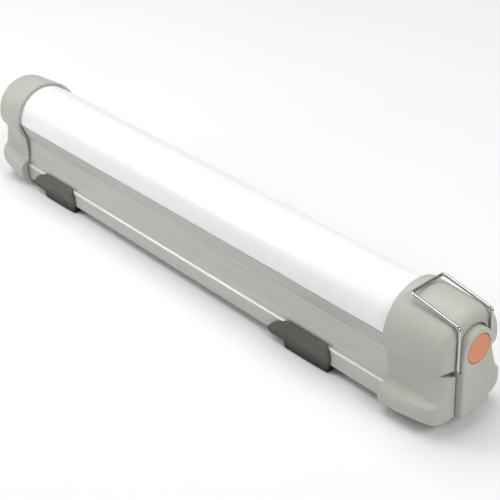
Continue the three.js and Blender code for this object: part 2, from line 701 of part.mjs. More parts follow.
/** A round cell lying along x, with a raised contact on its near end. */
function cell(name, startX, y) {
  const length = CELL_LENGTH;
  const profile = points(
    [0, 0],
    [CELL_RADIUS - 0.6, 0],
    [CELL_RADIUS, 0.8],
    [CELL_RADIUS, length - 2],
    [CELL_RADIUS - 0.8, length - 1.2],
    [2.8, length - 1.2],
    [2.6, length],
    [0, length],
  );
  const z = TRAY_FLOOR_Z + TRAY_WALL + GAP + CELL_RADIUS;
  const geometry = new THREE.LatheGeometry(profile, 20).rotateZ(-Math.PI / 2).translate(startX, y, z);
  return part(name, geometry, cellSleeve);
}

function cells() {
  const list = [];
  for (let row = 0; row < CELL_ROWS; row += 1) {
    const startX = FIRST_CELL_X - (row + 1) * CELL_PITCH;
    list.push(cell(`battery_cell_${2 * row + 1}`, startX, -CELL_Y));
    list.push(cell(`battery_cell_${2 * row + 2}`, startX, CELL_Y));
  }
  return list;
}

/** A circuit board on four short posts, carrying a coil and two boxy parts. */
function circuitBoard(name, { start, length }) {
  const halfWidth = 17;
  const z = TRAY_FLOOR_Z + 4;
  const topZ = z + BOARD_THICKNESS;
  let body = solid(box(start, start + length, -halfWidth, halfWidth, z, topZ));
  for (const x of [start + 5, start + length - 5]) {
    for (const y of [-halfWidth + 5, halfWidth - 5]) {
      body = body.add(solid(rod('z', 2.5, TRAY_FLOOR_Z, z + 0.5, [x, y], 12)));
    }
  }
  const coil = rod('z', 7, topZ - 0.5, topZ + 9, [start + 0.35 * length, -3], 20);
  const relay = box(start + 0.55 * length, start + 0.75 * length, -8, 6, topZ - 0.5, topZ + 8);
  const plug = box(start + 0.82 * length, start + 0.94 * length, -9, 9, topZ - 0.5, topZ + 6);
  body = body.add(solid(coil)).add(solid(relay)).add(solid(plug));
  return part(name, body, greenResin);
}

function farCap() {
  const innerX = FAR_CAP.length - CAP_END_WALL - 1;
  const hole = rod('x', INLET_RADIUS + GAP, innerX, FAR_CAP.length + 1, [0, 0], 24);
  const shell = capShell(FAR_CAP).subtract(solid(hole));
  const mesh = part('end_cap_far', drillScrewHoles(shell, capScrewPlaces().slice(0, 2)), capPlastic);
  mesh.rotation.z = Math.PI;
  mesh.position.x = -RIM_SPAN;
  return mesh;
}

/** The round charging socket in the far end face. */
function chargeInlet() {
  const face = FAR_CAP.length - 0.6;
  const body = rod('x', INLET_RADIUS, face - INLET_LENGTH, face, [0, 0], 24);
  const bore = rod('x', INLET_BORE_RADIUS, face - INLET_BORE_DEPTH, face + 1, [0, 0], 20);
  const mesh = part('charge_inlet', solid(body).subtract(solid(bore)), switchPlastic);
  mesh.rotation.z = Math.PI;
  mesh.position.x = -RIM_SPAN;
  return mesh;
}

// ---------------------------------------------------------------- assembly

const gasketOffset = CAP_OVERLAP + GAP;
const tube = new THREE.Group();
tube.add(
  housing(),
  diffuser(),
  nearCap(),
  farCap(),
  gasket('gasket_near', gasketOffset),
  gasket('gasket_far', -RIM_SPAN - gasketOffset - GASKET_THICKNESS),
  ...capScrews(),
  switchCover(),
  ...coverScrews(),
  powerButton(),
  buttonSeal(),
  switchModule(),
  bailWire(),
  clip('clip_near', CLIP_NEAR_END_X),
  clip('clip_far', CLIP_FAR_END_X),
  ledBoard(),
  ledStrip(),
  batteryTray(),
  ...cells(),
  circuitBoard('charge_board', CHARGE_BOARD),
  circuitBoard('driver_board', DRIVER_BOARD),
  chargeInlet(),
);

const nearTip = COVER_FRONT_X + BUTTON_CROWN;
const farTip = -RIM_SPAN - FAR_CAP.length;
tube.position.set(-(nearTip + farTip) / 2, 0, -CLIP_BASE_Z);

const lightTube = new THREE.Group();
lightTube.add(tube);

export default lightTube;
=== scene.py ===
"""Looks of the LED light tube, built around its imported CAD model.

The outlines are drawn in the tube frame, in millimetres: x runs along the tube and is 0 at a cap's
rim, y runs across, and z is 0 at the centre line of the half-round diffuser. place() turns them
into metres in the CAD frame, whose places come from the CAD nodes' boxes.
"""

import json
import math

import bmesh
import bpy
import numpy as np
from mathutils import Matrix, Vector


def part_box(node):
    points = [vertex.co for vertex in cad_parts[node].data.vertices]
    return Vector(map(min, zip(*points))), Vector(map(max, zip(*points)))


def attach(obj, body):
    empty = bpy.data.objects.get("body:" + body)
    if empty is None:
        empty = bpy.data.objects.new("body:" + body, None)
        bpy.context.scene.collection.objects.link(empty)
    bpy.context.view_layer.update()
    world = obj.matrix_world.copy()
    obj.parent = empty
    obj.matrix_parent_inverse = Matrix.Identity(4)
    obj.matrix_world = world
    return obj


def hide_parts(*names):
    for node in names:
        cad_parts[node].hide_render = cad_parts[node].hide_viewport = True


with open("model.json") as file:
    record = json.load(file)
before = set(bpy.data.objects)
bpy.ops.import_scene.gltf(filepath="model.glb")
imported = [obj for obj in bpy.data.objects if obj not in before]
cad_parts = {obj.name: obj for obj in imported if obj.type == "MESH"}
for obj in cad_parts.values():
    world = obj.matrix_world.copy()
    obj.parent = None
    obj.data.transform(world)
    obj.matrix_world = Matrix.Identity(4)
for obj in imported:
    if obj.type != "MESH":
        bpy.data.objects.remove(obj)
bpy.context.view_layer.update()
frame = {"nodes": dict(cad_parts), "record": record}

MM = 0.001
# Lengths are in millimetres and places are in the tube frame. GAP is the play between two pieces.
GAP = 0.35

# Diffuser and housing
DIFFUSER_RADIUS = 30.0
DIFFUSER_WALL = 2.0
DIFFUSER_TONGUE = 4.0
TONGUE_THICKNESS = 1.4
METAL_WALL = 1.8
WALL_Y = 24.3
WALL_TOP_Z = -15.2
WALL_CURVE_Z = -29.0
WALL_FOOT_Y = 27.6
LIP_TOP_Z = 0.8
LEDGE_Z = -41.5
LEDGE_Y = 29.8
# The painted highlight band along the ledges' outer edge: its depth below LEDGE_Z, and its fade
LEDGE_HIGHLIGHT_DEPTH = 0.4
LEDGE_HIGHLIGHT_FADE = 0.2
HOUSING_BOTTOM_Z = -56.4
CAP_OVERLAP = 12.0
LIP_SLOPE = (DIFFUSER_RADIUS - WALL_Y) / (LIP_TOP_Z - WALL_TOP_Z)

# End caps
CAP_RADIUS = 33.2
CAP_NECK_Y = 27.6
CAP_FOOT_Y = 37.7
CAP_BOTTOM_Z = -59.3
NECK_START_Z = -18.0
FLARE_START_Z = -33.5
FOOT_START_Z = -45.5
HEEL_START_Z = -48.5
HEEL_END_Y = 26.0
# Shares of its width that a cap's foot loses and its neck gains towards its end face
NEAR_CAP = {"foot": 0.03, "neck": 0.2}
FAR_CAP = {"foot": 0.09, "neck": 0.14}
DOME_NARROWING = 0.085
CAP_RISE = 0.14
DOME_ROLL = 7.0
NECK_ROLL = 12.0
FOOT_ROLL = 8.0
BOTTOM_ROLL = 2.5
SHOULDER_Z = -8.0
SHOULDER_DROP = 6.0
SHOULDER_BLEND = 10.0
NECK_BOTTOM_Z = -34.5
CAP_END_WALL = 6.5
CAP_CAVITY_RADIUS = 25.0
CAP_CAVITY_Y = 20.0
CAP_CAVITY_BOTTOM_Z = -45.0
CAP_SEAT = CAP_OVERLAP + 2 * GAP + 1.8
SCREW_Y = 15.0
SCREW_HEAD_RADIUS = 2.9
SCREW_HEAD_DEPTH = 1.1
SCREW_SHANK_RADIUS = 1.4
CAP_VOXEL = 0.5

# Switch cover, button, bail and charging inlet
COVER_FRONT_X = 57.4
COVER_HALF_WIDTH = 14.8
COVER_ARCH_Z = 4.4
COVER_BOTTOM_Z = -49.0
COVER_BOTTOM_RADIUS = 3.0
COVER_EDGE = 1.7
COVER_BACK_EDGE = 0.3
COVER_FRONT_WALL = 2.2
CHANNEL_WIDTH = 1.2
CHANNEL_DEPTH = 4.0
# A notch's corners in x and z at NOTCH_MOUTH_Y. It slants down towards the switch cover.
NOTCH = ((46.4, -10.9), (52.7, -9.8), (52.7, -3.0))
NOTCH_MOUTH_Y = 28.5
NOTCH_SLANT = 0.35
BUTTON_RADIUS = 11.2
BUTTON_FLANGE = 1.1
BUTTON_FLANGE_THICKNESS = 2.0
BUTTON_FLANGE_BEVEL = 0.3
BUTTON_EDGE = 0.9
BUTTON_MOUTH_EDGE = 0.45
BUTTON_Z = 3.7
SWITCH_RADIUS = 7.4
STEM_RADIUS = 2.7
WIRE_RADIUS = 1.25
BAIL_PIVOT_X = 53.4
BAIL_PIVOT_Z = -10.0
BAIL_STUB_Y = 11.6
BAIL_BEND = 3.0
BAIL_CORNER_Z = 26.1
INLET_BORE_RADIUS = 4.6
INLET_BORE_DEPTH = 9.5

# Clips
CLIP_BASE_Z = -63.2
CLIP_SIDE_Y = 33.2
CLIP_LENGTH = 67.5
CLIP_BASE_LENGTH = 46.0
CLIP_BASE_END_X = -2.2
CLIP_BASE_EDGE = 0.5
CLIP_STEP_Z = HOUSING_BOTTOM_Z - 0.2
CLIP_HOOK_THICKNESS = 1.4
CLIP_HOOK_TIP = 0.6
CLIP_HOOK_Y = 27.9
CLIP_ROUND_DROP = 13.0
CLIP_SCREW_X = (-14.0, -36.0)
CLIP_SCREW_RADIUS = 2.2
CLIP_VOXEL = 0.42
LOBE_LINE = ((-47.0, -56.4), (-18.0, -55.6), (0.0, -40.5))
FLANK_SLOPE = 0.07
FLANK_BLEND = 1.5
CLIP_CORNER = 3.5
CLIP_CORNER_SHARE = 0.6

# Read from the CAD: the rims and the axis in metres, the caps' lengths and the span in millimetres
NEAR_RIM_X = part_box("end_cap_near")[0].x
FAR_RIM_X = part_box("end_cap_far")[1].x
NEAR_LENGTH = (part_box("end_cap_near")[1].x - NEAR_RIM_X) / MM
FAR_LENGTH = (FAR_RIM_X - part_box("end_cap_far")[0].x) / MM
AXIS_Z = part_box("diffuser")[1].z - DIFFUSER_RADIUS * MM
RIM_SPAN = (NEAR_RIM_X - FAR_RIM_X) / MM


# ---------------------------------------------------------------- outlines


def arc(radius, start, end, steps, centre=(0.0, 0.0)):
    """Points on an arc, its angles in degrees from straight up towards +y."""
    angle = np.radians(np.linspace(start, end, steps + 1))
    return np.column_stack([centre[0] + radius * np.sin(angle), centre[1] + radius * np.cos(angle)])


def bezier(start, control1, control2, end, steps):
    t = np.linspace(0, 1, steps + 1)[:, None]
    a, b, c, d = (np.array(p, float) for p in (start, control1, control2, end))
    return a * (1 - t) ** 3 + 3 * b * t * (1 - t) ** 2 + 3 * c * t * t * (1 - t) + d * t**3


def quadratic(start, control, end, steps):
    t = np.linspace(0, 1, steps + 1)[:, None]
    a, b, c = (np.array(p, float) for p in (start, control, end))
    return a * (1 - t) ** 2 + 2 * b * t * (1 - t) + c * t * t


def mirrored(*parts):
    """A closed outline from the pieces of its right half, listed from its top to its bottom."""
    half = np.vstack([np.atleast_2d(p) for p in parts])
    keep = [0] + [i for i in range(1, len(half)) if np.hypot(*(half[i] - half[i - 1])) > 1e-6]
    half = half[keep]
    left = half[half[:, 0] > 1e-6][::-1] * (-1, 1)
    return np.vstack([half, left])


def rounded(corners, radii, steps=5):
    """A polyline with each corner cut back by its radius and rounded off."""
    corners = [np.array(c, float) for c in corners]
    made = []
    for i, (corner, radius) in enumerate(zip(corners, radii)):
        if radius == 0 or i in (0, len(corners) - 1):
            made.append(corner[None])
            continue
        before = corners[i - 1] - corner
        after = corners[i + 1] - corner
        enter = corner + before / np.linalg.norm(before) * radius
        leave = corner + after / np.linalg.norm(after) * radius
        made.append(quadratic(enter, corner, leave, steps))
    return np.vstack(made)


# ---------------------------------------------------------------- meshes


def place(points, rim_x=NEAR_RIM_X, facing=1):
    """Tube-frame millimetres to metres in the CAD frame. facing is -1 for a far cap's own pieces."""
    points = np.atleast_2d(np.asarray(points, float)) * MM
    return points * (facing, facing, 1) + (rim_x, 0, AXIS_Z)


def mesh_object(name, vertices, faces, smooth_angle=35):
    mesh = bpy.data.meshes.new(name)
    mesh.from_pydata([tuple(v) for v in vertices], [], faces)
    work = bmesh.new()
    work.from_mesh(mesh)
    bmesh.ops.remove_doubles(work, verts=work.verts, dist=1e-7)
    bmesh.ops.recalc_face_normals(work, faces=work.faces)
    work.to_mesh(mesh)
    work.free()
    mesh.update()
    made = bpy.data.objects.new(name, mesh)
    bpy.context.scene.collection.objects.link(made)
    shade(made, smooth_angle)
    return made


def shade(piece, angle):
    piece.data.shade_smooth()
    piece.data.set_sharp_from_angle(angle=math.radians(angle))


def ring_faces(rings, count, closed_ends):
    """Quads between consecutive rings of count vertices, with the first and last filled if asked."""
    faces = []
    for r in range(rings - 1):
        for i in range(count):
            j = (i + 1) % count
            a, b = r * count, (r + 1) * count
            faces.append((a + i, a + j, b + j, b + i))
    if closed_ends:
        faces.append(tuple(range(count))[::-1])
        faces.append(tuple((rings - 1) * count + i for i in range(count)))
    return faces


def loft(name, rings, closed_ends=True, smooth_angle=35):
    """A skin through rings of points, all with the same count."""
    rings = [np.asarray(r, float) for r in rings]
    faces = ring_faces(len(rings), len(rings[0]), closed_ends)
    return mesh_object(name, np.vstack(rings), faces, smooth_angle)


def section(outline, x):
    return np.column_stack([np.full(len(outline), float(x)), outline])


def prism_x(name, outline, x0, x1, **where):
    """An outline in y and z, extruded along the tube."""
    return loft(name, [place(section(outline, x), **where) for x in (x0, x1)])


def prism_y(name, outline, half_width, **where):
    """A side view in x and z, extruded across the tube."""
    rings = []
    for y in (-half_width, half_width):
        ring = np.column_stack([outline[:, 0], np.full(len(outline), y), outline[:, 1]])
        rings.append(place(ring, **where))
    return loft(name, rings)


def rod(name, axis, radius, start, end, across, sides=48, **where):
    """A round rod along one axis, centred on the other two."""
    circle = arc(radius, 0, 360, sides)[:-1] + np.array(across, float)
    order = {"x": (0, 1, 2), "y": (1, 0, 2), "z": (1, 2, 0)}[axis]
    rings = []
    for along in (start, end):
        ring = np.column_stack([np.full(sides, float(along)), circle])
        rings.append(place(ring[:, order], **where))
    return loft(name, rings)


def lathe_x(name, profile, centre_z, **where):
    """A solid turned about an axis along the tube. The profile is a list of (x, radius)."""
    sides = 96
    angle = np.linspace(0, 2 * math.pi, sides, endpoint=False)
    rings = []
    for x, radius in profile:
        radius = max(radius, 1e-4)
        ring = [np.full(sides, x), radius * np.sin(angle), centre_z + radius * np.cos(angle)]
        rings.append(place(np.column_stack(ring), **where))
    return loft(name, rings)


def applied(piece):
    """Makes the piece's modifiers part of its mesh."""
    graph = bpy.context.evaluated_depsgraph_get()
    mesh = bpy.data.meshes.new_from_object(piece.evaluated_get(graph))
    piece.modifiers.clear()
    old = piece.data
    piece.data = mesh
    bpy.data.meshes.remove(old)
    return piece


def cut(piece, cutters, operation="DIFFERENCE"):
    for cutter in cutters:
        step = piece.modifiers.new("cut", "BOOLEAN")
        step.operation = operation
        step.solver = "EXACT"
        step.object = cutter
    applied(piece)
    for cutter in cutters:
        bpy.data.objects.remove(cutter)
    return piece


def soften(piece, voxel, iterations):
    """Rounds every edge of a closed solid the way a moulding's are."""
    step = piece.modifiers.new("remesh", "REMESH")
    step.mode = "VOXEL"
    step.voxel_size = voxel * MM
    step.use_smooth_shade = True
    relax = piece.modifiers.new("relax", "SMOOTH")
    relax.factor = 0.5
    relax.iterations = iterations
    applied(piece)
    shade(piece, 60)
    return piece


# ---------------------------------------------------------------- materials


class Nodes:
    """A material's node tree, with short calls for the nodes used here."""

    def __init__(self, name):
        self.material = bpy.data.materials.new(name)
        self.material.use_nodes = True
        self.tree = self.material.node_tree
        self.shader = self.tree.nodes["Principled BSDF"]
        self.where = self.tree.nodes.new("ShaderNodeTexCoord").outputs["Object"]

    def link(self, source, target):
        self.tree.links.new(source, target)
        return self

    def mapped(self, scale):
        node = self.tree.nodes.new("ShaderNodeMapping")
        node.inputs["Scale"].default_value = scale
        self.link(self.where, node.inputs["Vector"])
        return node.outputs["Vector"]

    def noise(self, scale, detail=2.0, stretch=(1, 1, 1), rough=0.5):
        node = self.tree.nodes.new("ShaderNodeTexNoise")
        node.inputs["Scale"].default_value = scale
        node.inputs["Detail"].default_value = detail
        node.inputs["Roughness"].default_value = rough
        self.link(self.mapped(stretch), node.inputs["Vector"])
        return node.outputs["Fac"]

    def ranged(self, value, low, high, start=0.3, end=0.7):
        node = self.tree.nodes.new("ShaderNodeMapRange")
        node.inputs["From Min"].default_value = start
        node.inputs["From Max"].default_value = end
        node.inputs["To Min"].default_value = low
        node.inputs["To Max"].default_value = high
        self.link(value, node.inputs["Value"])
        return node.outputs["Result"]

    def blend(self, share, first, second):
        """A colour between two others, which are colours or sockets."""
        node = self.tree.nodes.new("ShaderNodeMix")
        node.data_type = "RGBA"
        self.link(share, node.inputs["Factor"])
        for key, colour in (("A", first), ("B", second)):
            socket = next(s for s in node.inputs if s.name == key and s.type == "RGBA")
            if isinstance(colour, tuple):
                socket.default_value = (*colour, 1)
            else:
                self.link(colour, socket)
        return next(s for s in node.outputs if s.type == "RGBA")

    def bump(self, height, strength, distance):
        node = self.tree.nodes.new("ShaderNodeBump")
        node.inputs["Strength"].default_value = strength
        node.inputs["Distance"].default_value = distance * MM
        before = self.shader.inputs["Normal"]
        if before.is_linked:
            self.link(before.links[0].from_socket, node.inputs["Normal"])
        self.link(height, node.inputs["Height"])
        self.link(node.outputs["Normal"], before)

    def set(self, **values):
        for key, value in values.items():
            self.shader.inputs[key.replace("_", " ")].default_value = value
        return self


def scaled(colour, factor):
    return tuple(min(1.0, c * factor) for c in colour)


def moulded(name, colour, roughness, variation, grain=0.25, specular=0.5):
    """Moulded plastic or rubber: a fine spark-eroded grain, and faint cloudy flow marks."""
    nodes = Nodes(name)
    clouds = nodes.noise(28, detail=4)
    tint = nodes.blend(
        nodes.ranged(clouds, 0, 1), scaled(colour, 1 - variation), scaled(colour, 1 + variation)
    )
    nodes.link(tint, nodes.shader.inputs["Base Color"])
    fine = nodes.noise(1600, detail=2)
    patchy = nodes.noise(90, detail=3)
    nodes.link(nodes.ranged(patchy, roughness - 0.06, roughness + 0.08), nodes.shader.inputs["Roughness"])
    nodes.bump(fine, grain, 0.05)
    nodes.bump(clouds, 0.06, 0.3)
    nodes.set(Specular_IOR_Level=specular)
    return nodes


def painted_base_shade(nodes, colour, top_z):
    """Painted shade on a clip's lower parts: the given darker colour is at the base and is gone by top_z.
    """
    height = nodes.tree.nodes.new("ShaderNodeSeparateXYZ")
    nodes.link(nodes.where, height.inputs["Vector"])
    uneven = nodes.ranged(nodes.noise(60, detail=3), -0.1, 0.1)
    share = nodes.tree.nodes.new("ShaderNodeMath")
    share.operation = "ADD"
    nodes.link(nodes.ranged(height.outputs["Z"], 0, 1, 0, top_z), share.inputs[0])
    nodes.link(uneven, share.inputs[1])
    share.use_clamp = True
    before = nodes.shader.inputs["Base Color"].links[0].from_socket
    nodes.link(nodes.blend(share.outputs[0], colour, before), nodes.shader.inputs["Base Color"])
    return nodes


def painted_ledge_highlight(nodes, colour, low_z, high_z):
    """A painted highlight along the ledges' outer edge: a bright band between two heights."""
    height = nodes.tree.nodes.new("ShaderNodeSeparateXYZ")
    nodes.link(nodes.where, height.inputs["Vector"])
    share = nodes.tree.nodes.new("ShaderNodeMath")
    share.operation = "MULTIPLY"
    fade = LEDGE_HIGHLIGHT_FADE * MM
    nodes.link(nodes.ranged(height.outputs["Z"], 0, 1, low_z - fade, low_z), share.inputs[0])
    nodes.link(nodes.ranged(height.outputs["Z"], 1, 0, high_z, high_z + fade), share.inputs[1])
    before = nodes.shader.inputs["Base Color"].links[0].from_socket
    uneven = nodes.blend(nodes.noise(200, detail=3), scaled(colour, 0.9), scaled(colour, 1.06))
    nodes.link(nodes.blend(share.outputs[0], before, uneven), nodes.shader.inputs["Base Color"])
    return nodes


def extruded_metal(name, colour, roughness=0.42):
    """Anodised extrusion: long die lines along the tube, a satin etch and faint handling marks."""
    nodes = Nodes(name)
    lines = nodes.noise(700, detail=5, stretch=(0.03, 1, 1), rough=0.65)
    etch = nodes.noise(2600, detail=2)
    clouds = nodes.noise(9, detail=3, stretch=(0.4, 1, 1))
    tint = nodes.blend(nodes.ranged(clouds, 0, 1), scaled(colour, 0.965), scaled(colour, 1.03))
    broad = nodes.noise(240, detail=4, stretch=(0.02, 1, 1), rough=0.6)
    streaked = nodes.blend(nodes.ranged(lines, 0, 0.7), tint, scaled(colour, 0.84))
    banded = nodes.blend(nodes.ranged(broad, 0, 0.5), streaked, scaled(colour, 1.14))
    nodes.link(banded, nodes.shader.inputs["Base Color"])
    nodes.link(nodes.ranged(lines, roughness - 0.07, roughness + 0.09), nodes.shader.inputs["Roughness"])
    nodes.bump(lines, 0.12, 0.05)
    nodes.bump(etch, 0.12, 0.03)
    nodes.set(Metallic=0.35, Anisotropic=0.35, Specular_IOR_Level=0.5)
    return nodes


def polished_wire(name, colour):
    nodes = Nodes(name)
    drawn = nodes.noise(2200, detail=3, stretch=(0.2, 1, 1))
    spots = nodes.noise(420, detail=3)
    tint = nodes.blend(nodes.ranged(spots, 0, 1), scaled(colour, 0.93), scaled(colour, 1.05))
    nodes.link(tint, nodes.shader.inputs["Base Color"])
    nodes.link(nodes.ranged(spots, 0.13, 0.24), nodes.shader.inputs["Roughness"])
    nodes.bump(drawn, 0.08, 0.02)
    nodes.set(Metallic=1.0)
    return nodes


def opal(name, colour):
    """Opal diffuser: a satin skin over a milky body that light passes into."""
    nodes = Nodes(name)
    clouds = nodes.noise(16, detail=3, stretch=(0.3, 1, 1))
    tint = nodes.blend(nodes.ranged(clouds, 0, 1), scaled(colour, 0.985), scaled(colour, 1.01))
    nodes.link(tint, nodes.shader.inputs["Base Color"])
    satin = nodes.noise(1900, detail=2)
    nodes.link(nodes.ranged(satin, 0.27, 0.36), nodes.shader.inputs["Roughness"])
    nodes.bump(satin, 0.07, 0.03)
    nodes.set(Subsurface_Weight=0.25, Subsurface_Radius=(1.0, 0.95, 0.9), Subsurface_Scale=0.004)
    nodes.set(Coat_Weight=0.15, Coat_Roughness=0.2)
    return nodes


def floor_material():
    nodes = Nodes("floor_pale")
    soft = nodes.noise(3, detail=3)
    tint = nodes.blend(nodes.ranged(soft, 0, 1), (0.85, 0.85, 0.85), (0.87, 0.87, 0.87))
    nodes.link(tint, nodes.shader.inputs["Base Color"])
    nodes.set(Roughness=0.9, Specular_IOR_Level=0.1)
    return nodes.material


MATERIALS = {
    "cap_plastic": moulded("cap_plastic", (0.495, 0.486, 0.445), 0.5, variation=0.035),
    "opal_diffuser": opal("opal_diffuser", (0.95, 0.95, 0.94)),
    # The aluminium, with a painted highlight band along the outer edge of its ledges
    "aluminium": painted_ledge_highlight(
        extruded_metal("aluminium", (0.54, 0.54, 0.515)),
        (0.9, 0.9, 0.88),
        AXIS_Z + (LEDGE_Z - LEDGE_HIGHLIGHT_DEPTH) * MM,
        AXIS_Z + LEDGE_Z * MM,
    ),
    # The clips' plastic, with painted shade that darkens it towards the base
    "clip_plastic": painted_base_shade(
        moulded("clip_plastic", (0.115, 0.117, 0.099), 0.5, variation=0.1, specular=0.3),
        (0.008, 0.008, 0.007),
        0.014,
    ),
    "button_rubber": moulded("button_rubber", (0.71, 0.285, 0.14), 0.55, variation=0.05, grain=0.3),
    "wire_steel": polished_wire("wire_steel", (0.55, 0.54, 0.52)),
    "screw_steel": polished_wire("screw_steel", (0.55, 0.55, 0.56)),
    "seal_rubber": moulded("seal_rubber", (0.03, 0.03, 0.03), 0.6, variation=0.1),
    "board_white": moulded("board_white", (0.8, 0.81, 0.79), 0.4, variation=0.02, grain=0.1),
    "phosphor": moulded("phosphor", (0.75, 0.55, 0.09), 0.5, variation=0.05, grain=0.1),
    "board_green": moulded("board_green", (0.02, 0.15, 0.06), 0.35, variation=0.15, grain=0.1),
    "tray_plastic": moulded("tray_plastic", (0.04, 0.04, 0.045), 0.5, variation=0.1),
    "cell_sleeve": moulded("cell_sleeve", (0.04, 0.13, 0.32), 0.3, variation=0.05, grain=0.05),
    "switch_plastic": moulded("switch_plastic", (0.02, 0.02, 0.022), 0.45, variation=0.1),
}


def finished(piece, body, slot, *nodes):
    """Gives a piece its material and says which body it rides on and which CAD nodes it stands for."""
    piece.data.materials.clear()
    piece.data.materials.append(MATERIALS[slot].material)
    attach(piece, body)
    if nodes:
        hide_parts(*nodes)
    return piece


# ---------------------------------------------------------------- end caps


def roll_inset(radius, distance):
    """How far a rounded edge of these radii has drawn in, this close to the cap's end face."""
    over = np.maximum(0, radius - distance)
    return radius - np.sqrt(np.maximum(0, radius * radius - over * over))


def smoothstep(value, low, high):
    t = np.clip((value - low) / (high - low), 0, 1)
    return t * t * (3 - 2 * t)


def cap_ring(outline, length, x, cap):
    """The rim outline as it is at x: the cap narrows, its bottom rises and its end edges roll over."""
    share = x / length
    y, z = outline[:, 0], outline[:, 1]
    below = smoothstep(-z, -SHOULDER_Z, SHOULDER_DROP - SHOULDER_Z)
    blend = smoothstep(-z, -SHOULDER_Z, SHOULDER_BLEND - SHOULDER_Z)
    down = np.clip((z - SHOULDER_Z) / (NECK_BOTTOM_Z - SHOULDER_Z), 0, 1)
    footward = np.clip((z - NECK_BOTTOM_Z) / -SHOULDER_Z, -1, 0)
    neck = down * (1 + footward)
    lower_inset = roll_inset(NECK_ROLL + (FOOT_ROLL - NECK_ROLL) * down, length - x)
    inset = roll_inset(DOME_ROLL, length - x) * (1 - below) + lower_inset * below
    dome_width = 1 - DOME_NARROWING * share
    lower_width = 1 + (cap["neck"] * neck - cap["foot"]) * share * share
    narrow = (dome_width * (1 - blend) + lower_width * blend) * (1 - inset / CAP_RADIUS)
    rise = (1 - CAP_RISE * share**2) * (1 + roll_inset(BOTTOM_ROLL, length - x) / CAP_BOTTOM_Z)
    return np.column_stack([np.full(len(y), x), y * narrow, z * np.where(z > 0, narrow, rise)])


def tube_outline(grow):
    wall = quadratic((WALL_Y, WALL_TOP_Z), (WALL_Y, WALL_CURVE_Z), (WALL_FOOT_Y, LEDGE_Z), 16)
    corners = [
        (WALL_FOOT_Y + grow, LEDGE_Z + grow),
        (LEDGE_Y + grow, LEDGE_Z + grow),
        (LEDGE_Y + grow, HOUSING_BOTTOM_Z - grow),
        (0, HOUSING_BOTTOM_Z - grow),
    ]
    return mirrored(arc(DIFFUSER_RADIUS + grow, 0, 90, 48), wall[:-1] + (grow, 0), corners)


def end_cap(name, length, cap, rim_x, facing, extra_cuts):
    where = {"rim_x": rim_x, "facing": facing}
    dome = arc(CAP_RADIUS, 0, 97, 72)
    neck_top = (CAP_NECK_Y, NECK_START_Z)
    neck_foot = (CAP_NECK_Y, FLARE_START_Z)
    shoulder = bezier(dome[-1], (31.5, -10), (CAP_NECK_Y, -12.5), neck_top, 28)
    neck = np.linspace(neck_top, neck_foot, 9)
    flare = bezier(
        neck_foot, (CAP_NECK_Y, -38.4), (CAP_FOOT_Y, -37.5), (CAP_FOOT_Y, FOOT_START_Z), 28
    )
    heel = bezier(
        (CAP_FOOT_Y, HEEL_START_Z),
        (CAP_FOOT_Y, -53),
        (34.5, CAP_BOTTOM_Z),
        (HEEL_END_Y, CAP_BOTTOM_Z),
        24,
    )
    outline = mirrored(dome, shoulder, neck, flare, heel, (0, CAP_BOTTOM_Z))
    places = length * np.sin(np.linspace(0, math.pi / 2, 56))
    piece = loft(name, [place(cap_ring(outline, length, x, cap), **where) for x in places])
    cavity = mirrored(
        arc(CAP_CAVITY_RADIUS, 0, 50, 20),
        [(CAP_CAVITY_Y, 0), (CAP_CAVITY_Y, CAP_CAVITY_BOTTOM_Z), (0, CAP_CAVITY_BOTTOM_Z)],
    )
    cutters = [
        prism_x("cut_seat", tube_outline(GAP), -1, CAP_SEAT, **where),
        prism_x("cut_cavity", cavity, CAP_SEAT - 1, length - CAP_END_WALL, **where),
    ]
    for y in (-SCREW_Y, SCREW_Y):
        across = (CAP_OVERLAP / 2, y)
        head = (SCREW_HEAD_RADIUS + GAP, CAP_BOTTOM_Z + 2 * GAP + SCREW_HEAD_DEPTH)
        shank = (SCREW_SHANK_RADIUS + GAP, HOUSING_BOTTOM_Z + 1)
        for radius, top in (head, shank):
            cutters.append(rod("cut_screw", "z", radius, CAP_BOTTOM_Z - 2, top, across, **where))
    cut(piece, cutters + extra_cuts)
    return soften(piece, CAP_VOXEL, 5)


def cover_outline(grow, bottom_z=COVER_BOTTOM_Z):
    """The switch cover's outline, moved outwards: an arch over straight sides, rounded corners."""
    corner_y = COVER_HALF_WIDTH - COVER_BOTTOM_RADIUS
    corner_z = bottom_z + COVER_BOTTOM_RADIUS
    return mirrored(
        arc(COVER_HALF_WIDTH + grow, 0, 90, 48, (0, COVER_ARCH_Z)),
        np.linspace((COVER_HALF_WIDTH + grow, COVER_ARCH_Z), (COVER_HALF_WIDTH + grow, corner_z), 20),
        arc(COVER_BOTTOM_RADIUS + grow, 90, 180, 14, (corner_y, corner_z)),
        np.linspace((corner_y, bottom_z - grow), (0, bottom_z - grow), 8),
    )


def near_cap():
    """The cap with the switch. Its notches are cut last, so that their edges stay sharp."""
    floor_x = NEAR_LENGTH - CHANNEL_DEPTH
    channel = cover_outline(CHANNEL_WIDTH, CAP_BOTTOM_Z - 10)
    cuts = [
        prism_x("cut_channel", channel, floor_x, COVER_FRONT_X + 5),
        rod("cut_switch", "x", SWITCH_RADIUS + GAP, floor_x - CAP_END_WALL, floor_x + 1, (0, BUTTON_Z)),
    ]
    piece = end_cap("end_cap_near_moulding", NEAR_LENGTH, NEAR_CAP, NEAR_RIM_X, 1, cuts)
    notches = []
    for side in (-1, 1):
        rings = []
        for y in (COVER_HALF_WIDTH + CHANNEL_WIDTH - 0.2, CAP_FOOT_Y):
            drop = NOTCH_SLANT * (NOTCH_MOUTH_Y - y)
            rings.append(place([(x, side * y, z - drop) for x, z in NOTCH]))
        notches.append(loft("cut_notch", rings))
    cut(piece, notches)
    shade(piece, 50)
    return finished(piece, "housing", "cap_plastic", "end_cap_near")


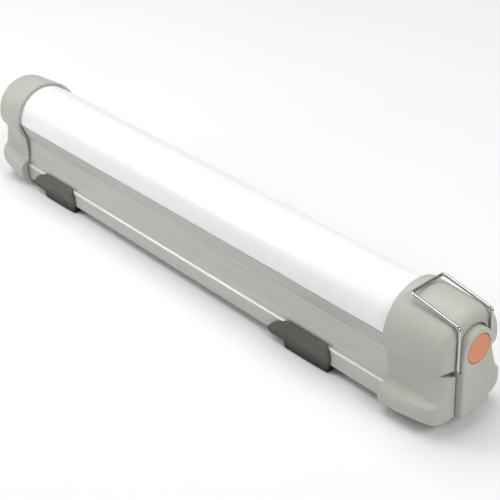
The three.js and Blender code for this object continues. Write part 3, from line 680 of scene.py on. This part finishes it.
def far_cap():
    where = {"rim_x": FAR_RIM_X, "facing": -1}
    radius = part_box("charge_inlet")[1].y / MM + GAP
    start = FAR_LENGTH - CAP_END_WALL - 1
    cuts = [rod("cut_inlet", "x", radius, start, FAR_LENGTH + 1, (0, 0), **where)]
    piece = end_cap("end_cap_far_moulding", FAR_LENGTH, FAR_CAP, FAR_RIM_X, -1, cuts)
    return finished(piece, "housing", "cap_plastic", "end_cap_far")


# ---------------------------------------------------------------- cover, button, inlet


def circle_towards(outline, radius):
    """A circle about the button's centre, with one point in the direction of each outline point."""
    centre = np.array((0, BUTTON_Z))
    away = outline - centre
    return centre + radius * away / np.linalg.norm(away, axis=1)[:, None]


def switch_cover():
    back_x = NEAR_LENGTH - CHANNEL_DEPTH + GAP
    rings = [
        section(cover_outline(-COVER_BACK_EDGE), back_x),
        section(cover_outline(0), back_x + COVER_BACK_EDGE),
    ]
    for angle in np.radians(np.linspace(0, 90, 9)):
        x = COVER_FRONT_X - COVER_EDGE * (1 - math.sin(angle))
        rings.append(section(cover_outline(-COVER_EDGE * (1 - math.cos(angle))), x))
    outline = cover_outline(-COVER_EDGE)
    mouth = BUTTON_RADIUS + GAP
    for angle in np.radians(np.linspace(0, 90, 6)):
        radius = mouth + BUTTON_MOUTH_EDGE * (1 - math.sin(angle))
        x = COVER_FRONT_X - BUTTON_MOUTH_EDGE * (1 - math.cos(angle))
        rings.append(section(circle_towards(outline, radius), x))
    well_x = COVER_FRONT_X - COVER_FRONT_WALL
    rings.append(section(circle_towards(outline, mouth), well_x))
    rings.append(section(circle_towards(outline, mouth + BUTTON_FLANGE), well_x))
    rings.append(section(circle_towards(outline, mouth + BUTTON_FLANGE), back_x))
    rings.append(rings[0])
    piece = loft("switch_cover_moulding", [place(r) for r in rings], closed_ends=False)
    pivots = []
    for side in (-1, 1):
        ends = sorted((side * (BAIL_STUB_Y - GAP), side * (COVER_HALF_WIDTH + 1)))
        across = (BAIL_PIVOT_X, BAIL_PIVOT_Z)
        pivots.append(rod("cut_pivot", "y", WIRE_RADIUS + GAP, *ends, across, sides=32))
    cut(piece, pivots)
    shade(piece, 30)
    return finished(piece, "housing", "cap_plastic", "switch_cover")


def power_button():
    tip = (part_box("power_button")[1].x - NEAR_RIM_X) / MM
    back = (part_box("power_button")[0].x - NEAR_RIM_X) / MM
    flange = COVER_FRONT_X - COVER_FRONT_WALL - GAP
    flange_back = flange - BUTTON_FLANGE_THICKNESS
    flange_radius = BUTTON_RADIUS + BUTTON_FLANGE
    profile = [(back, 0), (back, STEM_RADIUS), (flange_back, STEM_RADIUS)]
    profile.append((flange_back, flange_radius - BUTTON_FLANGE_BEVEL))
    profile.append((flange_back + BUTTON_FLANGE_BEVEL, flange_radius))
    profile += [(flange, flange_radius), (flange, BUTTON_RADIUS)]
    shoulder = COVER_FRONT_X - 0.05
    for angle in np.radians(np.linspace(0, 78, 9)):
        radius = BUTTON_RADIUS - BUTTON_EDGE * (1 - math.cos(angle))
        profile.append((shoulder - BUTTON_EDGE * (1 - math.sin(angle)), radius))
    start = profile[-1]
    for share in np.linspace(0.1, 1, 16):
        rise = (tip - start[0]) * math.sin(share * math.pi / 2)
        profile.append((start[0] + rise, start[1] * (1 - share)))
    piece = lathe_x("power_button_cap", profile, BUTTON_Z)
    return finished(piece, "button", "button_rubber", "power_button")


def charge_inlet():
    where = {"rim_x": FAR_RIM_X, "facing": -1}
    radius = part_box("charge_inlet")[1].y / MM
    face = (FAR_RIM_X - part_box("charge_inlet")[0].x) / MM
    back = (FAR_RIM_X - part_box("charge_inlet")[1].x) / MM
    bore = INLET_BORE_RADIUS
    floor = face - INLET_BORE_DEPTH
    profile = [(back, 0), (back, radius - 0.5), (back + 0.5, radius), (face - 0.6, radius)]
    profile += [(face - 0.2, radius - 0.15), (face, radius - 0.6), (face, bore + 1.3)]
    profile += [(face - 0.5, bore + 1.1), (face - 0.5, bore + 0.35), (face - 0.8, bore)]
    profile += [(floor, bore), (floor, 0)]
    piece = lathe_x("charge_inlet_socket", profile, 0, **where)
    return finished(piece, "housing", "switch_plastic", "charge_inlet")


# ---------------------------------------------------------------- bail


def tube_along(name, path, radius, sides=24):
    """A round bar along a path in the CAD frame, with softly rounded ends."""
    path = np.asarray(path)
    tangents = np.gradient(path, axis=0)
    tangents /= np.linalg.norm(tangents, axis=1)[:, None]
    side = np.cross(tangents[0], (0, 0, 1.0))
    side /= np.linalg.norm(side)
    angle = np.linspace(0, 2 * math.pi, sides, endpoint=False)
    rings = []
    for point, tangent in zip(path, tangents):
        side = side - tangent * (side @ tangent)
        side /= np.linalg.norm(side)
        other = np.cross(tangent, side)
        ring = np.outer(np.cos(angle), side) + np.outer(np.sin(angle), other)
        rings.append(point + radius * ring)
    ends = []
    for index, sign in ((0, -1), (-1, 1)):
        centre, tangent = path[index], tangents[index]
        ends.append(centre + sign * tangent * radius * 0.2 + (rings[index] - centre) * 0.75)
    return loft(name, [ends[0], *rings, ends[1]], smooth_angle=50)


def bail_wire():
    low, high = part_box("bail_wire")
    leg_y = high.y / MM - WIRE_RADIUS
    top_z = (high.z - AXIS_Z) / MM - WIRE_RADIUS
    rear_x = (low.x - NEAR_RIM_X) / MM + WIRE_RADIUS
    half = [
        (BAIL_PIVOT_X, BAIL_STUB_Y, BAIL_PIVOT_Z),
        (BAIL_PIVOT_X, leg_y, BAIL_PIVOT_Z),
        (BAIL_PIVOT_X, leg_y, BAIL_CORNER_Z),
        (rear_x, leg_y, top_z),
    ]
    corners = half + [(x, -y, z) for x, y, z in reversed(half)]
    radii = [0] + [BAIL_BEND] * (len(corners) - 2) + [0]
    path = rounded(corners, radii, steps=12)
    keep = [0] + [i for i in range(1, len(path)) if np.linalg.norm(path[i] - path[i - 1]) > 1e-3]
    piece = tube_along("bail_wire_bent", place(path[keep]), WIRE_RADIUS * MM)
    return finished(piece, "bail", "wire_steel", "bail_wire")


# ---------------------------------------------------------------- diffuser and housing


def diffuser():
    inner = DIFFUSER_RADIUS - DIFFUSER_WALL
    tongue_y = DIFFUSER_RADIUS - METAL_WALL * math.hypot(1, LIP_SLOPE) - GAP
    foot_y = tongue_y - LIP_SLOPE * DIFFUSER_TONGUE
    edge_z = LIP_TOP_Z + GAP
    tip_z = LIP_TOP_Z - DIFFUSER_TONGUE
    right = [
        (DIFFUSER_RADIUS - 0.25, edge_z),
        (tongue_y, edge_z),
        (foot_y, tip_z),
        (foot_y - TONGUE_THICKNESS, tip_z),
        (tongue_y - TONGUE_THICKNESS, edge_z + TONGUE_THICKNESS),
    ]
    left = [(-y, z) for y, z in reversed(right)]
    outline = np.vstack(
        [arc(DIFFUSER_RADIUS, -87, 87, 150), right, arc(inner, 81, -81, 110), left]
    )
    start, end = -RIM_SPAN - CAP_OVERLAP, CAP_OVERLAP
    rings = [place(section(outline, x)) for x in np.linspace(start, end, 40)]
    piece = loft("diffuser_cover", rings, smooth_angle=30)
    return finished(piece, "housing", "opal_diffuser", "diffuser")


def keep_cad_node(node, slot, bevel=None):
    """A CAD node that stays as it is, with a better material and, if asked, softened edges."""
    cad = frame["nodes"][node]
    for index in range(max(1, len(cad.data.materials))):
        if index < len(cad.data.materials):
            cad.data.materials[index] = MATERIALS[slot].material
        else:
            cad.data.materials.append(MATERIALS[slot].material)
    if bevel:
        weld = cad.modifiers.new("weld", "WELD")
        weld.merge_threshold = 1e-6
        edge = cad.modifiers.new("edge", "BEVEL")
        edge.width = bevel * MM
        edge.segments = 3
        edge.limit_method = "ANGLE"
        edge.angle_limit = math.radians(25)
        edge.harden_normals = True


# ---------------------------------------------------------------- clips


def clip_section():
    """A clip across the tube: its flanks round over into hooks that reach in over the ledges."""
    under = LEDGE_Z + GAP
    top = under + CLIP_HOOK_THICKNESS
    flank_top = (CLIP_SIDE_Y, top - CLIP_ROUND_DROP)
    hook = bezier(flank_top, (CLIP_SIDE_Y, top - 5), (32, top), (CLIP_HOOK_Y + 1, top), 24)
    inner = [
        (LEDGE_Y + GAP, HOUSING_BOTTOM_Z - GAP),
        (LEDGE_Y + GAP, under),
        (CLIP_HOOK_Y, under),
        (CLIP_HOOK_Y, top - CLIP_HOOK_TIP),
    ]
    outer = rounded(
        [flank_top, (CLIP_SIDE_Y, CLIP_BASE_Z), (0, CLIP_BASE_Z)], [0, CLIP_BASE_EDGE, 0], steps=6
    )
    return mirrored((0, HOUSING_BOTTOM_Z - GAP), inner, hook[::-1], outer)


def clip_side_view():
    """The side view, with the steep end at x = 0: a lobe sweeping down, and a stepped base."""
    top = LEDGE_Z + GAP + CLIP_HOOK_THICKNESS + 0.5
    base_start = CLIP_BASE_END_X - CLIP_BASE_LENGTH
    low_end = (-CLIP_LENGTH, -53.5)
    step_corner = (2 - CLIP_LENGTH, CLIP_STEP_Z)
    step_start = (9 - CLIP_LENGTH, CLIP_STEP_Z)
    return np.vstack(
        [
            [(CLIP_BASE_END_X, CLIP_BASE_Z - 1), (CLIP_BASE_END_X, CLIP_BASE_Z + 2), (0, -52)],
            quadratic((-0.5, top - 5.5), (-1.4, top), (-8, top), 16),
            quadratic((-40, top), (-58, top - 0.3), low_end, 32),
            quadratic(low_end, step_corner, step_start, 16)[1:],
            [(base_start, CLIP_STEP_Z), (base_start, CLIP_BASE_Z - 1)],
        ]
    )


def hook_space():
    """The space between the hooks, in x and y: it widens towards the ends, where the hooks fade."""
    wide = CLIP_SIDE_Y - 1.5
    half = np.vstack(
        [
            [(1, wide), (-1.2, wide)],
            quadratic((-1.2, wide), (-1.2, CLIP_HOOK_Y), (-9, CLIP_HOOK_Y), 16)[1:],
            quadratic((-42, CLIP_HOOK_Y), (-56, CLIP_HOOK_Y), (-62, wide), 16),
            [(-CLIP_LENGTH - 1, wide)],
        ]
    )
    return np.vstack([half, half[::-1] * (1, -1)])


def flank_inset(x, z):
    """How far a clip's flank is drawn in: at the steep end's corner, and below its lobe's line."""
    line = np.interp(x, *quadratic(*LOBE_LINE, 24).T)
    below = np.maximum(0, line - z)
    lean = FLANK_SLOPE * below * below / (below + FLANK_BLEND)
    return lean + CLIP_CORNER_SHARE * roll_inset(CLIP_CORNER, -x)


def clip(node, body):
    where = {"rim_x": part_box(node)[1].x}
    piece = prism_x(f"{node}_moulding", clip_section(), -CLIP_LENGTH - 1, 1, **where)
    cut(piece, [prism_y("clip_side", clip_side_view(), CLIP_SIDE_Y + 1, **where)], "INTERSECT")
    space = hook_space()
    rings = []
    for z in (LEDGE_Z, LEDGE_Z + 2 * CLIP_HOOK_THICKNESS + GAP):
        rings.append(place(np.column_stack([space, np.full(len(space), z)]), **where))
    holes = [loft("cut_hooks", rings)]
    for x in CLIP_SCREW_X:
        ends = (CLIP_BASE_Z - 1, HOUSING_BOTTOM_Z + 1)
        holes.append(rod("cut_hole", "z", CLIP_SCREW_RADIUS, *ends, (x, 0), sides=32, **where))
    cut(piece, holes)
    soften(piece, CLIP_VOXEL, 3)
    count = len(piece.data.vertices)
    flat = np.empty(count * 3, np.float32)
    piece.data.vertices.foreach_get("co", flat)
    places = flat.reshape(count, 3).astype(float)
    x = (places[:, 0] - where["rim_x"]) / MM
    z = (places[:, 2] - AXIS_Z) / MM
    outer = smoothstep(np.abs(places[:, 1]) / MM, LEDGE_Y + GAP + 0.6, LEDGE_Y + GAP + 1.8)
    places[:, 1] -= np.sign(places[:, 1]) * flank_inset(x, z) * outer * MM
    piece.data.vertices.foreach_set("co", places.astype(np.float32).ravel())
    piece.data.update()
    return finished(piece, body, "clip_plastic", node)


# ---------------------------------------------------------------- camera, light and floor

CAMERA_PLACE = (0.6669, -0.5073, 0.5477)
CAMERA_YAW = 50.56
CAMERA_PITCH = 32.41
CAMERA_ROLL = -3.42
CAMERA_LENS = 84.22

WORLD_STRENGTH = 0.24
FLOOR_SIDE = 8
FLOOR_Z = -0.0003
# Each light's name, place, aim and size in metres, and power in watts
LIGHTS = (
    ("key", (-0.45, 0.05, 2.2), (-0.05, 0, 0), (2.2, 2.2), 39),
    ("side_fill", (-1.0, -0.75, 0.8), (-0.28, 0, 0.04), (0.6, 0.5), 5.3),
    ("front_fill", (1.8, 0.1, 1.7), (0.25, 0, 0.05), (0.9, 0.9), 19.5),
)


def camera():
    yaw, pitch, roll = (math.radians(a) for a in (CAMERA_YAW, CAMERA_PITCH, CAMERA_ROLL))
    ahead = Vector(
        (-math.sin(yaw) * math.cos(pitch), math.cos(yaw) * math.cos(pitch), -math.sin(pitch))
    )
    level = Vector((math.cos(yaw), math.sin(yaw), 0))
    upright = level.cross(ahead)
    right = level * math.cos(roll) + upright * math.sin(roll)
    up = upright * math.cos(roll) - level * math.sin(roll)
    data = bpy.data.cameras.new("camera")
    data.lens = CAMERA_LENS
    data.sensor_width = 36
    data.clip_start = 0.01
    data.clip_end = 50
    made = bpy.data.objects.new("camera", data)
    turn = Matrix((right, up, -ahead)).transposed().to_4x4()
    made.matrix_world = Matrix.Translation(CAMERA_PLACE) @ turn
    bpy.context.scene.collection.objects.link(made)
    bpy.context.scene.camera = made


def area_light(name, place_m, aim_m, size, power):
    data = bpy.data.lights.new(name, "AREA")
    data.shape = "RECTANGLE"
    data.size, data.size_y = size
    data.energy = power
    made = bpy.data.objects.new(name, data)
    made.location = place_m
    made.rotation_euler = (Vector(aim_m) - Vector(place_m)).to_track_quat("-Z", "Y").to_euler()
    bpy.context.scene.collection.objects.link(made)


def studio():
    scene = bpy.context.scene
    scene.view_settings.view_transform = "Standard"
    scene.view_settings.look = "None"
    world = bpy.data.worlds.new("studio")
    world.use_nodes = True
    background = world.node_tree.nodes["Background"]
    background.inputs["Color"].default_value = (1, 1, 1, 1)
    background.inputs["Strength"].default_value = WORLD_STRENGTH
    scene.world = world
    for row in LIGHTS:
        area_light(*row)
    signs = ((-1, -1), (1, -1), (1, 1), (-1, 1))
    corners = [(FLOOR_SIDE * x, FLOOR_SIDE * y, FLOOR_Z) for x, y in signs]
    floor = mesh_object("floor", corners, [(0, 1, 2, 3)])
    floor.data.materials.append(floor_material())


# ---------------------------------------------------------------- the object

camera()
studio()
near_cap()
far_cap()
switch_cover()
power_button()
charge_inlet()
bail_wire()
diffuser()
clip("clip_near", "near_clip")
clip("clip_far", "far_clip")

HOUSING_BEVEL = 0.22

replaced = {"end_cap_near", "end_cap_far", "switch_cover", "power_button", "charge_inlet"}
replaced |= {"bail_wire", "diffuser", "clip_near", "clip_far"}
for row in frame["record"]["subparts"]:
    if row["node"] not in replaced:
        softened = HOUSING_BEVEL if row["node"] == "housing_profile" else None
        keep_cad_node(row["node"], row["material_slot"], softened)
